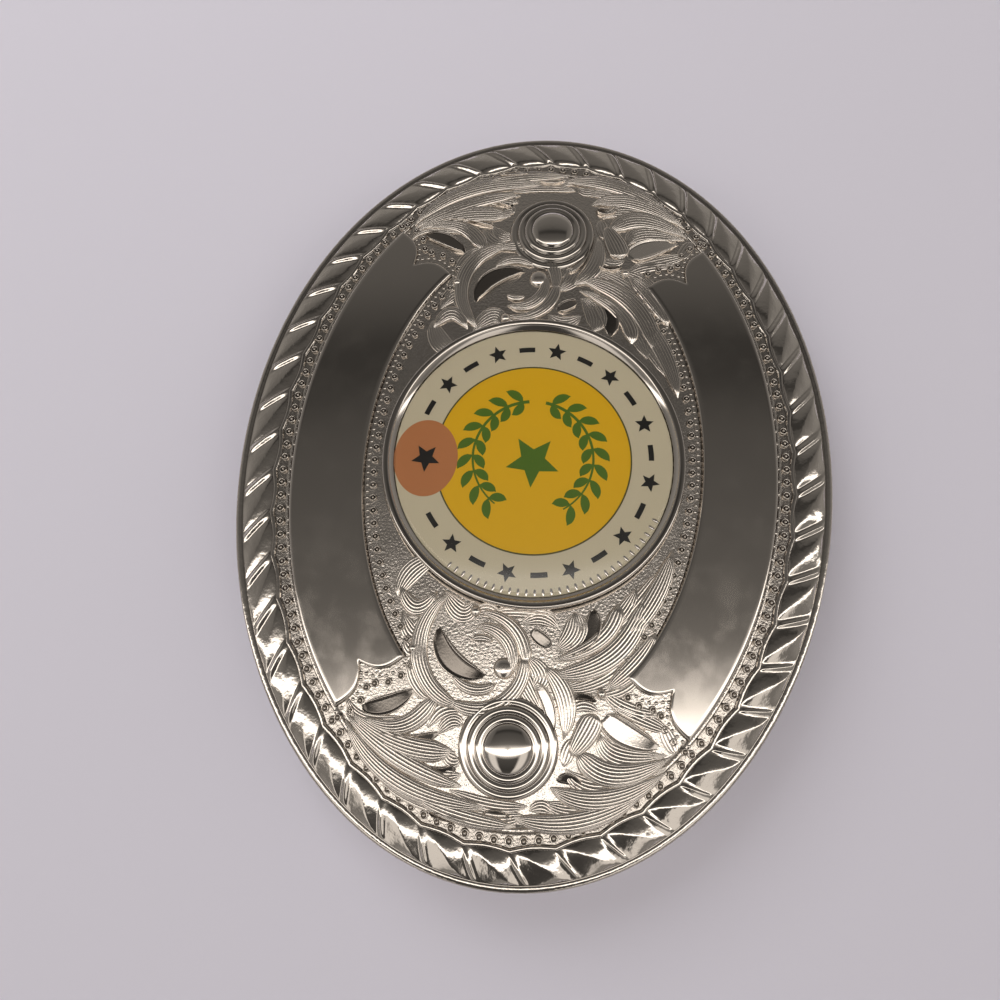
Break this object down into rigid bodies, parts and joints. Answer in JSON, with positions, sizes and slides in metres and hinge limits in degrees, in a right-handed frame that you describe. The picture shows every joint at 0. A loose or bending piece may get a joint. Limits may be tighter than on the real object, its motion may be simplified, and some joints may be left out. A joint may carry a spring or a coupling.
{
  "type": "western trophy buckle",
  "caption": "Oval cast belt buckle with a rope edge, two ribbon panels, scrollwork, two round bosses and a domed round emblem, with a strap loop and a prong behind.",
  "frame": {"origin": "under the middle of the oval plate, on the surface that the buckle lies on, back down", "axes": "+X along the strap, towards the strap loop; +Y up as worn; +Z out of the face"},
  "size_m": [0.1016, 0.0762, 0.0148],
  "materials": {
    "plated_casting": "nickel-plated zinc casting, polished on the high parts, dark in the cut lines, lightly worn",
    "collar_metal": "polished plated collar, turned",
    "print": "printed disc, satin",
    "clear_dome": "clear domed resin, glossy",
    "wire": "nickel-plated steel wire, plain"
  },
  "bodies": {
    "root": {"face_plate": "plated_casting", "bezel": "collar_metal", "emblem_disc": "print", "emblem_dome": "clear_dome", "belt_loop": "wire", "prong": "wire"}
  },
  "joints": []
}
